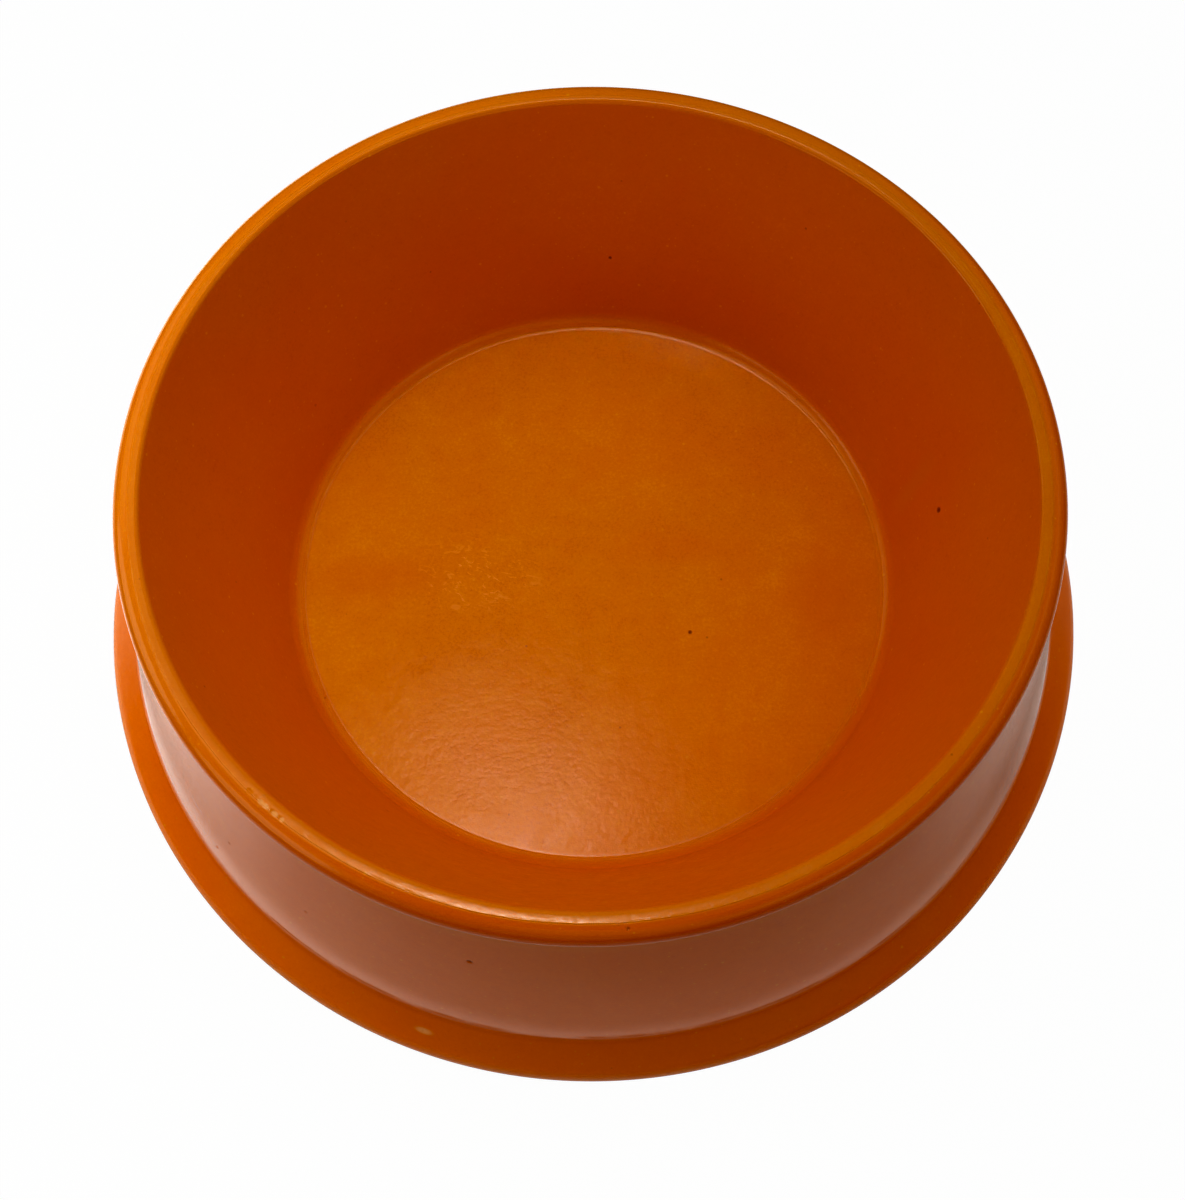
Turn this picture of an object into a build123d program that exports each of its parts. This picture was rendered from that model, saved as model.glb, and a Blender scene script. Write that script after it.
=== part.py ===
from build123d import *
import os
from math import atan2, cos, pi, radians, sin, tan

# Pet food bowl: a one-piece moulded shell (dish, rim, flared skirt, foot
# flange) with a soft ring pressed into a groove under its foot.
# Frame: +Z up, origin on the ground plane at the bowl's axis, millimetres.
# Both pieces are revolved; section points are (radius, height above ground).

# ---- dish ---------------------------------------------------------------
floor_radius = 62.38  # edge line between floor and fillet
floor_height = 10.96  # top of the floor
floor_thick = 3.6
floor_break = radians(20)  # the fillet leaves the floor with this angle break
dish_fillet = 4.72  # floor to dish wall
wall_thick = 3.4  # dish wall and skirt
dish_top = (85.02, 61.95)  # where the dish wall meets the rim's inner rounding

# ---- rim ----------------------------------------------------------------
rim_radius = 90.74  # widest point of the rim
rim_mid_height = 59.5  # height of that point
inner_round = 1.31  # rounding between dish wall and rim top
inner_lean = radians(8)  # the inner rounding ends with its normal leaning in by this
parting_radius = 87.02  # parting line on top of the rim
outer_lean = radians(10)  # fall of the rim's outer band
outer_round = 3.176
lip_under = radians(25)  # the outer rounding tucks under by this angle

# ---- skirt and foot flange ----------------------------------------------
base_radius = 105.0  # widest point, on the foot flange
skirt_top = (90.10, 57.40)
skirt_foot = (98.13, 11.05)  # where the skirt meets the flange fillet
flange_fillet = 2.27  # concave, skirt to flange
flange_slope = radians(42)  # fall of the flange's top
flange_round = 3.90  # upper outer rounding
flange_mid_height = 2.605  # height where that rounding turns vertical
ring_proud = 0.8  # the ring stands this far below the moulding
foot_height = ring_proud  # underside of the moulding
foot_round = 1.2  # lower outer rounding
foot_inner_radius = 96.8
foot_inner_round = 0.8  # on the foot's inner edge

# ---- hollow between dish and skirt --------------------------------------
skirt_inside_foot_height = 8.5  # lower end of the skirt's inside face
hollow_top_height = 52.0  # where its rounded top starts
hollow_rise_ratio = 0.42  # rise of the rounded top over its width
hollow_fillet = 7.0  # underside of the floor to dish wall

# ---- groove and ring ----------------------------------------------------
groove_mid_radius = 100.2
groove_width = 3.2
groove_depth = 2.2
groove_inner = groove_mid_radius - groove_width / 2
groove_outer = groove_mid_radius + groove_width / 2
groove_roof = foot_height + groove_depth
ring_side_gap = 0.05
ring_chamfer = 0.5


def rounding(centre, radius, start_tilt, end_tilt):
    """Start, middle and end of an arc; a tilt is measured from +Z, away from the axis."""
    tilts = (start_tilt, (start_tilt + end_tilt) / 2, end_tilt)
    return [(centre[0] + radius * sin(t), centre[1] + radius * cos(t)) for t in tilts]


def rounding_from(start, radius, start_tilt, end_tilt):
    """The same arc, placed by its start point instead of its centre."""
    centre = (start[0] - radius * sin(start_tilt), start[1] - radius * cos(start_tilt))
    return rounding(centre, radius, start_tilt, end_tilt)


def dish_fillet_arc(wall_angle):
    """Fillet from the floor's edge line up into a wall at this angle to the floor."""
    edge = (floor_radius, floor_height)
    return rounding_from(edge, dish_fillet, pi - floor_break, pi - wall_angle)


def tangent_wall_angle():
    """Angle of the dish wall that is tangent to its fillet and ends at dish_top."""
    angle = radians(67)  # first guess
    for _ in range(20):
        wall_foot = dish_fillet_arc(angle)[-1]
        angle = atan2(dish_top[1] - wall_foot[1], dish_top[0] - wall_foot[0])
    return angle


# ---- dish and rim arcs --------------------------------------------------
wall_angle = tangent_wall_angle()
dish_arc = dish_fillet_arc(wall_angle)
inner_rim_arc = rounding_from(dish_top, inner_round, -wall_angle, -inner_lean)
outer_rim_arc = rounding(
    (rim_radius - outer_round, rim_mid_height), outer_round, outer_lean, pi / 2 + lip_under
)

# The outer band falls from the parting line to the outer rounding.
band_end = outer_rim_arc[0]
parting = (parting_radius, band_end[1] + (band_end[0] - parting_radius) * tan(outer_lean))

# ---- flange and foot arcs -----------------------------------------------
flare = atan2(skirt_foot[0] - skirt_top[0], skirt_top[1] - skirt_foot[1])  # from vertical
flange_fillet_arc = rounding_from(
    skirt_foot, flange_fillet, 3 * pi / 2 - flare, pi + flange_slope
)
flange_arc = rounding(
    (base_radius - flange_round, flange_mid_height), flange_round, flange_slope, pi / 2
)
foot_outer_arc = rounding(
    (base_radius - foot_round, foot_height + foot_round), foot_round, pi / 2, pi
)
foot_inner_arc = rounding(
    (foot_inner_radius + foot_inner_round, foot_height + foot_inner_round),
    foot_inner_round,
    pi,
    3 * pi / 2,
)


# ---- underside of the shell ---------------------------------------------
def skirt_inside(height):
    """Point on the skirt's inside face, one wall thickness in from its outside."""
    radius = skirt_foot[0] - wall_thick * cos(flare)
    level = skirt_foot[1] - wall_thick * sin(flare)
    return (radius - (height - level) * tan(flare), height)


def dish_outside(height):
    """Point on the dish wall's underside, one wall thickness out from the dish."""
    radius = dish_arc[-1][0] + wall_thick * sin(wall_angle)
    level = dish_arc[-1][1] - wall_thick * cos(wall_angle)
    return (radius + (height - level) / tan(wall_angle), height)


hollow_outer = skirt_inside(hollow_top_height)
hollow_inner = dish_outside(hollow_top_height)
hollow_peak = (
    (hollow_inner[0] + hollow_outer[0]) / 2,
    hollow_top_height + (hollow_outer[0] - hollow_inner[0]) * hollow_rise_ratio,
)

# Fillet tangent to the dish wall's underside and the floor's underside.
under_height = floor_height - floor_thick
under_corner = dish_outside(under_height)
under_arc = rounding(
    (under_corner[0] - hollow_fillet * tan(wall_angle / 2), under_height + hollow_fillet),
    hollow_fillet,
    pi - wall_angle,
    pi,
)


# ---- pieces -------------------------------------------------------------
def make_bowl_body():
    """Moulded shell, its outline drawn from the floor's centre outwards and back."""
    with BuildPart() as body:
        with BuildSketch(Plane.XZ):
            with BuildLine():
                # dish
                Line((0, floor_height), dish_arc[0])
                ThreePointArc(*dish_arc)
                Line(dish_arc[-1], inner_rim_arc[0])
                # rim
                ThreePointArc(*inner_rim_arc)
                Line(inner_rim_arc[-1], parting)
                Line(parting, outer_rim_arc[0])
                ThreePointArc(*outer_rim_arc)
                Line(outer_rim_arc[-1], skirt_top)
                # skirt and flange
                Line(skirt_top, skirt_foot)
                ThreePointArc(*flange_fillet_arc)
                Line(flange_fillet_arc[-1], flange_arc[0])
                ThreePointArc(*flange_arc)
                Line(flange_arc[-1], foot_outer_arc[0])
                ThreePointArc(*foot_outer_arc)
                # foot with its groove
                Polyline(
                    foot_outer_arc[-1],
                    (groove_outer, foot_height),
                    (groove_outer, groove_roof),
                    (groove_inner, groove_roof),
                    (groove_inner, foot_height),
                    foot_inner_arc[0],
                )
                ThreePointArc(*foot_inner_arc)
                # inside of the skirt, top of the hollow, outside of the dish
                Polyline(
                    foot_inner_arc[-1],
                    skirt_inside(skirt_inside_foot_height),
                    hollow_outer,
                )
                ThreePointArc(hollow_outer, hollow_peak, hollow_inner)
                Line(hollow_inner, under_arc[0])
                ThreePointArc(*under_arc)
                # underside of the floor, then up the axis
                Polyline(under_arc[-1], (0, under_height), (0, floor_height))
            make_face()
        revolve(axis=Axis.Z)
    return body.part


def make_non_slip_ring():
    """Ring from the groove's roof down to the ground, both lower edges chamfered."""
    inner = groove_inner + ring_side_gap
    outer = groove_outer - ring_side_gap
    with BuildPart() as ring:
        with BuildSketch(Plane.XZ):
            with BuildLine():
                Polyline(
                    (inner, groove_roof),
                    (outer, groove_roof),
                    (outer, ring_chamfer),
                    (outer - ring_chamfer, 0),
                    (inner + ring_chamfer, 0),
                    (inner, ring_chamfer),
                    (inner, groove_roof),
                )
            make_face()
        revolve(axis=Axis.Z)
    return ring.part


os.makedirs("parts", exist_ok=True)
pieces = {"bowl_body": make_bowl_body(), "non_slip_ring": make_non_slip_ring()}
for name, piece in pieces.items():
    piece.label = name
    export_step(piece, f"parts/{name}.step")
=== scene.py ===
# A round moulded bowl: a dish inside, a flared skirt outside, and a rubber ring in the foot's groove.
# Its axis is Z through the origin and it stands on z = 0. The camera looks from -Y and above, so
# +X is right and +Y is back. Bowl sizes are millimetres, scaled by MM; the studio is in metres.
import math
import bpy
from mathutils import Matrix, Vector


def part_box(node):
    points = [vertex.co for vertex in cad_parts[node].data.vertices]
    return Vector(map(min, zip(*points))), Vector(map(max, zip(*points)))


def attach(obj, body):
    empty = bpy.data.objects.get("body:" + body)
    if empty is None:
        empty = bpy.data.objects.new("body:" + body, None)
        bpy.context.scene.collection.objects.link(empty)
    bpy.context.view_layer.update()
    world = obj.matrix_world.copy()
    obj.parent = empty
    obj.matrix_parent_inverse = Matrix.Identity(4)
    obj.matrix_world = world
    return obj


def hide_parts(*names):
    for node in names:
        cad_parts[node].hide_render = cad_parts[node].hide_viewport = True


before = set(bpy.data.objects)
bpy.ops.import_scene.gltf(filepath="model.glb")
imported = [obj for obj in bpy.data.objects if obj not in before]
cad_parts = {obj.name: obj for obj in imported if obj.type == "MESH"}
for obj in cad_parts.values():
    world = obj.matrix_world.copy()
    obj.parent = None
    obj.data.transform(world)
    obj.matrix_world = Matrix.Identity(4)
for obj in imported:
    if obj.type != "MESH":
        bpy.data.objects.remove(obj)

from types import SimpleNamespace

import bmesh
import bpy
import numpy as np
from mathutils import Matrix, Vector

TAU = 2 * math.pi
FOOT_RADIUS = 105.0             # the widest part of the bowl
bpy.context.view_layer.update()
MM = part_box("bowl_body")[1].x / FOOT_RADIUS
scene = bpy.context.scene


# ------------------------------------------------------- section geometry --
# Section points are (radius, height).
def on_arc(centre, radius, degrees):
    """Arc point, measured from straight up and turning outwards."""
    angle = math.radians(degrees)
    return (centre[0] + radius * math.sin(angle), centre[1] + radius * math.cos(angle))


def under_arc(centre, radius, degrees, side=1):
    """Arc point, measured from straight down; side 1 turns outwards and -1 inwards."""
    angle = math.radians(degrees)
    return (centre[0] + side * radius * math.sin(angle), centre[1] - radius * math.cos(angle))


def between(start, end, share):
    return (start[0] + (end[0] - start[0]) * share, start[1] + (end[1] - start[1]) * share)


def steps(start, end, count):
    return [start + (end - start) * i / count for i in range(count + 1)]


def stations(points, tag, segments=576):
    """Lathe stations: (radius, height, segments round the circle, tag)."""
    return [(radius, height, segments, tag) for radius, height in points]


# dish: flat floor, bevelled edge line, fillet, straight wall
FLOOR_R, FLOOR_Z = 62.38, 10.96
DISH_FILLET = 4.72
FILLET_START = math.radians(20.0)
WALL_TOP = (85.02, 61.95)
CENTRE_RADII = [1.0, 2.0, 3.2, 4.6, 6.2, 8.0, 10.0, 12.3, 14.8, 17.5, 20.3, 23.2]
BEVEL_R, BEVEL_SLOPE = 62.02, math.tan(math.radians(8.9))

# the wall's slope, found so that it runs from the fillet to WALL_TOP
dish_slope = math.radians(67)
for _ in range(20):
    dish_slope = math.atan2(
        WALL_TOP[1] - (FLOOR_Z + DISH_FILLET * (math.cos(FILLET_START) - math.cos(dish_slope))),
        WALL_TOP[0] - (FLOOR_R + DISH_FILLET * (math.sin(dish_slope) - math.sin(FILLET_START))),
    )
DISH_DEGREES = math.degrees(dish_slope)
DISH_FILLET_CENTRE = (
    FLOOR_R - DISH_FILLET * math.sin(FILLET_START),
    FLOOR_Z + DISH_FILLET * math.cos(FILLET_START),
)
WALL_FOOT = under_arc(DISH_FILLET_CENTRE, DISH_FILLET, DISH_DEGREES)

# rim: inner rounding, inner band up to the parting line, outer band, outer rounding
INNER_ROUND = 1.31
INNER_CENTRE = under_arc(WALL_TOP, INNER_ROUND, DISH_DEGREES)
INNER_END = -7.0
PART_R = 87.12
BAND_START = on_arc(INNER_CENTRE, INNER_ROUND, INNER_END)
BAND_WIDTH = PART_R - BAND_START[0]
BAND_SLOPES = math.tan(math.radians(5.6)), math.tan(math.radians(2.8))
OUTER_CENTRE, OUTER_ROUND = (87.564, 59.5), 3.176
OUTER_LEAN = 10.0
OUTER_START = on_arc(OUTER_CENTRE, OUTER_ROUND, OUTER_LEAN)
RIM_END = on_arc(OUTER_CENTRE, OUTER_ROUND, 115)

# skirt and the fillet into the foot flange
SKIRT_TOP, SKIRT_FOOT = (90.10, 57.40), (98.13, 11.05)
FLARE = math.atan2(SKIRT_FOOT[0] - SKIRT_TOP[0], SKIRT_TOP[1] - SKIRT_FOOT[1])
FLARE_TURN = 90.0 - math.degrees(FLARE)
FLANGE_FILLET, FLANGE_SLOPE = 2.27, 42.0
FLANGE_FILLET_CENTRE = on_arc(SKIRT_FOOT, FLANGE_FILLET, FLARE_TURN)
FILLET_JOIN = 79.0              # the skirt ends a little way round the fillet
SKIRT_END = under_arc(FLANGE_FILLET_CENTRE, FLANGE_FILLET, FILLET_JOIN, side=-1)
EASE_Z = 20.0                   # below this the flare opens up
EASE_SLOPE = math.tan(math.radians(90.0 - FILLET_JOIN)) - math.tan(FLARE)

# foot
FLANGE_ROUND, FLANGE_ROUND_Z = 3.90, 2.605
FOOT_Z, FOOT_ROUND = 0.8, 1.2
GROOVE_IN, GROOVE_OUT, GROOVE_TOP = 98.6, 101.8, 3.0
FOOT_FLAT_R = 102.7
HEEL_ROUND = 0.8
HEEL_CENTRE = (97.6, FOOT_Z + HEEL_ROUND)

# hollow between skirt and dish
WALL = 3.4
HOLLOW_TOP = 52.0
SKIRT_INSIDE = under_arc(SKIRT_FOOT, WALL, FLARE_TURN, side=-1)
DISH_OUTSIDE = under_arc(WALL_FOOT, WALL, DISH_DEGREES)
UNDER_Z = FLOOR_Z - 3.6
UNDER_FILLET = 7.0


def floor_segments(radius):
    return 72 if radius < 3 else 144 if radius < 9 else 288 if radius < 26 else 576


def dish_section():
    radii = CENTRE_RADII + steps(26.2, 59.6, 13) + [60.8, 61.5, 61.85]
    floor = [(radius, FLOOR_Z, floor_segments(radius), "floor") for radius in radii]
    bevel_z = FLOOR_Z + 0.008
    bevel = [(BEVEL_R - 0.06, FLOOR_Z), (BEVEL_R, FLOOR_Z + 0.002), (BEVEL_R + 0.06, bevel_z)]
    for radius in (62.30, 62.54):
        bevel.append((radius, bevel_z + (radius - BEVEL_R - 0.06) * BEVEL_SLOPE))
    turns = (22.4, 24, 27, 30.5, 34.5, 39, 44, 49, 54, 58.5, 62.5, 65.5, DISH_DEGREES)
    fillet = [under_arc(DISH_FILLET_CENTRE, DISH_FILLET, turn) for turn in turns]
    wall = [between(WALL_FOOT, WALL_TOP, share) for share in steps(0, 1, 24)[1:]]
    return (floor + stations(bevel, "line") + stations(fillet, "fillet")
            + stations(wall, "wall"))


def inner_band(offset):
    """Height of the inner band: steep by the dish, nearly level at the parting line."""
    start, end = BAND_SLOPES
    share = (offset + BAND_WIDTH) / BAND_WIDTH
    return BAND_START[1] + BAND_WIDTH * (start * share + (end - start) * share * share / 2)


def outer_band(offset):
    """Height of the outer band, with a shallow dip beside the parting line."""
    run = OUTER_START[0] - PART_R - offset
    height = OUTER_START[1] + run * math.tan(math.radians(OUTER_LEAN))
    return height - 0.055 * math.exp(-(((offset - 0.16) / 0.26) ** 2))


def rim_section():
    rows = []
    for turn in (-63, -57, -50, -43, -36, -29.5, -23.5, -18, -13, -9.5, INNER_END):
        point = on_arc(INNER_CENTRE, INNER_ROUND, turn)
        rows += stations([point], "inner", 576 if turn < -20 else 1152)
    offsets = (-0.80, -0.66, -0.53, -0.41, -0.30, -0.21, -0.13, -0.06)
    crest = [(PART_R + offset, inner_band(offset)) for offset in offsets]
    crest.append((PART_R, inner_band(0) - 0.002))
    crest.append((PART_R + 0.045, inner_band(0) - 0.014))
    rows += stations(crest, "crest", 2304)
    for offset in (0.10, 0.16, 0.23, 0.31, 0.40, 0.52, 0.66, 0.84):
        point = (PART_R + offset, outer_band(offset))
        rows += stations([point], "crest", 2304 if offset < 0.6 else 1152)
    turns = (OUTER_LEAN, 14, 18.5, 23, 28, 33, 38, 44, 50, 56, 62, 68, 74, 80, 86, 91, 96, 101,
             106, 110.5, 115)
    return rows + stations([on_arc(OUTER_CENTRE, OUTER_ROUND, turn) for turn in turns], "rim")


def skirt_point(share):
    """Skirt point, share running from 0 at the lip to 1 at the flange fillet."""
    radius, height = between(SKIRT_TOP, SKIRT_END, share)
    ease_height = EASE_Z - SKIRT_END[1]
    inset = EASE_SLOPE * ease_height / 3
    if height < EASE_Z:
        inset *= 1 - ((EASE_Z - height) / ease_height) ** 3
    else:
        inset *= 1 - ((height - EASE_Z) / (SKIRT_TOP[1] - EASE_Z)) ** 2
    return (radius - inset, height)


def skirt_section():
    lip = [between(RIM_END, SKIRT_TOP, share) for share in (0.35, 0.62, 0.80)]
    lip.append((SKIRT_TOP[0] + 0.02, SKIRT_TOP[1] - 0.01))
    lip.append((SKIRT_TOP[0] + 0.035, SKIRT_TOP[1] - 0.12))
    skirt = [skirt_point(share) for share in [0.006, 0.012, 0.022] + steps(0.036, 1, 34)]
    turns = (77.5, 76.0, 74.0, 72.0, 70.0, 68.0, 66.5, 64.5, 62.5, 59.5, 56.5, 53.5, 50.5, 47.5,
             44.5, FLANGE_SLOPE)
    fillet = [under_arc(FLANGE_FILLET_CENTRE, FLANGE_FILLET, turn, side=-1) for turn in turns]
    return stations(lip, "lip") + stations(skirt, "skirt") + stations(fillet, "flange_fillet")


def soft_corner(before, corner, after, reach=0.09, segments=288):
    """A corner of the path before-corner-after, softened by three stations."""
    middle = Vector(corner)
    back = Vector((before[0] - corner[0], before[1] - corner[1])).normalized()
    ahead = Vector((after[0] - corner[0], after[1] - corner[1])).normalized()
    points = (middle + back * reach, middle + (back + ahead) * reach * 0.29,
              middle + ahead * reach)
    return stations(points, "under", segments)


def foot_section():
    """Flange slope and edge, foot, the ring's groove and the rounded heel inside it."""
    centre = (FOOT_RADIUS - FLANGE_ROUND, FLANGE_ROUND_Z)
    start = under_arc(FLANGE_FILLET_CENTRE, FLANGE_FILLET, FLANGE_SLOPE, side=-1)
    end = on_arc(centre, FLANGE_ROUND, FLANGE_SLOPE)
    flange = [between(start, end, share) for share in steps(0, 1, 6)[1:]]
    flange += [on_arc(centre, FLANGE_ROUND, turn) for turn in range(46, 91, 4)]
    flange.append((FOOT_RADIUS, 2.3))
    centre = (FOOT_RADIUS - FOOT_ROUND, FOOT_Z + FOOT_ROUND)
    turns = (90, 102, 114, 126, 138, 150, 162, 172, 180)
    foot = [on_arc(centre, FOOT_ROUND, turn) for turn in turns]
    foot.append((FOOT_FLAT_R, FOOT_Z))
    rows = stations(flange, "flange") + stations(foot, "foot")
    path = [
        (FOOT_FLAT_R, FOOT_Z), (GROOVE_OUT, FOOT_Z), (GROOVE_OUT, GROOVE_TOP),
        (GROOVE_IN, GROOVE_TOP), (GROOVE_IN, FOOT_Z), (HEEL_CENTRE[0], FOOT_Z),
    ]
    for i in range(1, 5):
        rows += soft_corner(*path[i - 1:i + 2], segments=576 if i == 1 else 288)
    heel = [on_arc(HEEL_CENTRE, HEEL_ROUND, turn) for turn in (180, 202, 225, 248, 270)]
    return rows + stations(heel, "under", 288)


def skirt_inside(height):
    return (SKIRT_INSIDE[0] - (height - SKIRT_INSIDE[1]) * math.tan(FLARE), height)


def dish_outside(height):
    return (DISH_OUTSIDE[0] + (height - DISH_OUTSIDE[1]) / math.tan(dish_slope), height)


def hollow_section():
    """Inside of the skirt, rounded top of the hollow, back of the dish, flat under the floor."""
    heel_side = (HEEL_CENTRE[0] - HEEL_ROUND, HEEL_CENTRE[1])
    rows = soft_corner(heel_side, skirt_inside(8.5), skirt_inside(HOLLOW_TOP), reach=0.7)
    points = [skirt_inside(height) for height in (12, 18, 24, 30, 36, 42, 47, 50)]
    left, right = dish_outside(HOLLOW_TOP)[0], skirt_inside(HOLLOW_TOP)[0]
    width = right - left
    for turn in (90, 66, 42, 20, 0, -20, -42, -66, -90):
        angle = math.radians(turn)
        points.append(((left + right) / 2 + width / 2 * math.sin(angle),
                       HOLLOW_TOP + width * 0.42 * math.cos(angle)))
    points += [dish_outside(height) for height in (48, 42, 36, 30, 24, 18.5)]
    corner = dish_outside(UNDER_Z)[0]
    centre = (corner - UNDER_FILLET * math.tan(dish_slope / 2), UNDER_Z + UNDER_FILLET)
    points += [under_arc(centre, UNDER_FILLET, turn) for turn in steps(DISH_DEGREES, 0, 9)]
    rows += stations(points, "under", 288)
    for segments, radii in (
        (288, (56.0, 51.0, 46.0, 41.0, 36.0, 31.0, 26.0)),
        (144, (21.0, 16.0, 12.0, 8.5)),
        (72, (5.5, 3.0, 1.2)),
    ):
        rows += stations([(radius, UNDER_Z) for radius in radii], "under", segments)
    return rows


def body_section():
    rows = dish_section() + rim_section() + skirt_section() + foot_section() + hollow_section()
    # neighbouring loops differ by a factor of two at most
    counts = [row[2] for row in rows]
    for i in range(1, len(counts)):
        counts[i] = max(counts[i], counts[i - 1] // 2)
    for i in range(len(counts) - 2, -1, -1):
        counts[i] = max(counts[i], counts[i + 1] // 2)
    return [(row[0], row[1], count, row[3]) for row, count in zip(rows, counts)]


# ------------------------------------------------------------------ noise --
def ring_noise(turn, along, cells, length, seed):
    """Smooth noise from -1 to 1: `cells` round the circle, one per `length` along the section."""
    table = np.random.default_rng(seed).uniform(-1, 1, (cells, 97))
    x = (turn / TAU * cells) % cells
    y = (np.asarray(along) / length + 31.7) % 97
    i, j = np.floor(x).astype(int), np.floor(y).astype(int)
    part_x, part_y = x - i, y - j
    part_x = part_x**3 * (part_x * (part_x * 6 - 15) + 10)
    part_y = part_y**3 * (part_y * (part_y * 6 - 15) + 10)
    i0, i1, j0, j1 = i % cells, (i + 1) % cells, j % 97, (j + 1) % 97
    low = table[i0, j0] * (1 - part_x) + table[i1, j0] * part_x
    high = table[i0, j1] * (1 - part_x) + table[i1, j1] * part_x
    return low * (1 - part_y) + high * part_y


def smooth(start, end, value):
    share = np.clip((np.asarray(value, float) - start) / (end - start), 0, 1)
    return share * share * (3 - 2 * share)


# ------------------------------------------------------------------ lathe --
def bridge(start0, count0, start1, count1):
    """Faces between two loops of equal count, or with one twice as fine as the other."""
    faces = []
    if count0 == count1:
        for i in range(count0):
            j = (i + 1) % count0
            faces.append((start0 + i, start1 + i, start1 + j, start0 + j))
    elif count1 == 2 * count0:
        for i in range(count0):
            j = (i + 1) % count0
            a, b, c = start1 + 2 * i, start1 + 2 * i + 1, start1 + (2 * i + 2) % count1
            faces += [(start0 + i, a, b), (start0 + i, b, start0 + j), (start0 + j, b, c)]
    else:
        for i in range(count1):
            j = (i + 1) % count1
            a, b, c = start0 + 2 * i, start0 + 2 * i + 1, start0 + (2 * i + 2) % count0
            faces += [(a, start1 + i, b), (b, start1 + i, start1 + j), (b, start1 + j, c)]
    return faces


def lathe(rows, shift, poles=None, closed=False):
    """Turn stations round Z. `poles` are the heights that cap the first and last loops."""
    loops, starts, faces = [], [], []
    total = 0
    for radius, height, count, tag in rows:
        turn = np.arange(count) * TAU / count
        radii, heights = shift(
            np.full(count, radius), np.full(count, height), turn, tag, radius)
        loops.append(np.stack([radii * np.cos(turn), radii * np.sin(turn), heights], -1))
        starts.append(total)
        total += count
    for k in range(len(rows) if closed else len(rows) - 1):
        after = (k + 1) % len(rows)
        faces += bridge(starts[k], rows[k][2], starts[after], rows[after][2])
    for end, height in zip((0, -1), poles or ()):
        loops.append(np.array([[0, 0, height]]))
        count, start = rows[end][2], starts[end]
        for i in range(count):
            j = (i + 1) % count
            faces.append((total, start + i, start + j) if end == 0
                         else (total, start + j, start + i))
        total += 1
    return np.concatenate(loops), faces


def shade_smooth(mesh):
    for face in mesh.polygons:
        face.use_smooth = True
    mesh.update()


def to_mesh(name, verts, faces):
    mesh = bpy.data.meshes.new(name)
    mesh.from_pydata((verts * MM).tolist(), [], faces)
    mesh.validate()
    shade_smooth(mesh)
    return mesh


def turn_outward(mesh):
    bm = bmesh.new()
    bm.from_mesh(mesh)
    bmesh.ops.recalc_face_normals(bm, faces=bm.faces)
    bm.to_mesh(mesh)
    bm.free()
    mesh.update()


def add_object(name, data):
    obj = bpy.data.objects.new(name, data)
    scene.collection.objects.link(obj)
    return obj


# -------------------------------------------------------------- bowl body --
# beads left on the broken stretch of the parting line: (degrees from its middle, half width)
BREAK_DEGREES = 229.2
BREAK_BEADS = ((-3.1, 0.32), (-2.35, 0.42), (-1.1, 0.36), (-0.45, 0.22), (0.7, 0.30))
# small pits and nicks in the skin: (place, radius, depth, share of dirt)
GLINTING_NICK = (-35.6, -95.1, 7.4)
PITS = [
    ((6.1, 70.4, 27.2), 0.55, 0.22, 1),
    ((20.6, -13.5, 11.0), 0.60, 0.22, 1),
    ((72.0, 4.2, 30.6), 0.85, 0.25, 1),
    ((-23.9, -89.4, 43.4), 0.80, 0.30, 1),
    ((4.5, -88.5, 62.5), 0.50, 0.20, 0.5),
    ((-58.8, 36.8, 24.1), 0.45, 0.15, 0.3),
    ((-71.1, -62.5, 30.7), 0.50, 0.20, 0.7),
    ((-55.8, -76.4, 31.0), 0.50, 0.18, 0.6),
    ((-76.0, -59.8, 18.8), 0.55, 0.18, 0.5),
    ((-80.1, -52.0, 25.9), 0.45, 0.15, 0.4),
    # the nick in the flange: no dirt, and its pale mark is a painted glint
    (GLINTING_NICK, 0.50, 0.14, 0),
    ((-41.8, -54.0, 21.3), 0.60, 0.12, 0.3),
]


def parting_wobble(turn, offset):
    """The parting line runs slightly off centre; fades out to either side of it."""
    weight = max(0.0, 1 - abs(offset) / (0.97 if offset < 0 else 1.07))
    wobble = (-0.42 * np.sin(turn) + 0.07 * ring_noise(turn, 0, 14, 1, 3)
              + 0.05 * ring_noise(turn, 0, 46, 1, 4))
    return wobble * weight


def trim_crest(radii, heights, turn, offset):
    """Ragged trim along the parting line, with small nicks and one broken stretch."""
    near = math.exp(-((offset / 0.16) ** 2))
    ragged = (0.06 * ring_noise(turn, 0, 210, 1, 5) + 0.035 * ring_noise(turn, 0, 620, 1, 6))
    radii = radii + ragged * near
    edge_weight = math.exp(-(((offset + 0.05) / 0.13) ** 2))
    nick = (smooth(0.45, 0.95, ring_noise(turn, 0, 330, 1, 7))
            * smooth(-0.1, 0.5, ring_noise(turn, 0, 25, 1, 8)))
    low = 0.055 * nick + 0.012 * (1 + ring_noise(turn, 0, 520, 1, 9))
    heights = heights - low * edge_weight
    degrees = np.degrees(turn) - BREAK_DEGREES
    zone = smooth(-4.3, -3.9, degrees) * (1 - smooth(1.2, 1.7, degrees))
    bead = np.zeros_like(turn)
    for middle, half_width in BREAK_BEADS:
        bead = np.maximum(bead, np.exp(-(((degrees - middle) / half_width) ** 2)))
    gap = zone * (1 - bead)
    return radii, heights - 0.16 * gap * math.exp(-(((offset + 0.10) / 0.26) ** 2))


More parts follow.
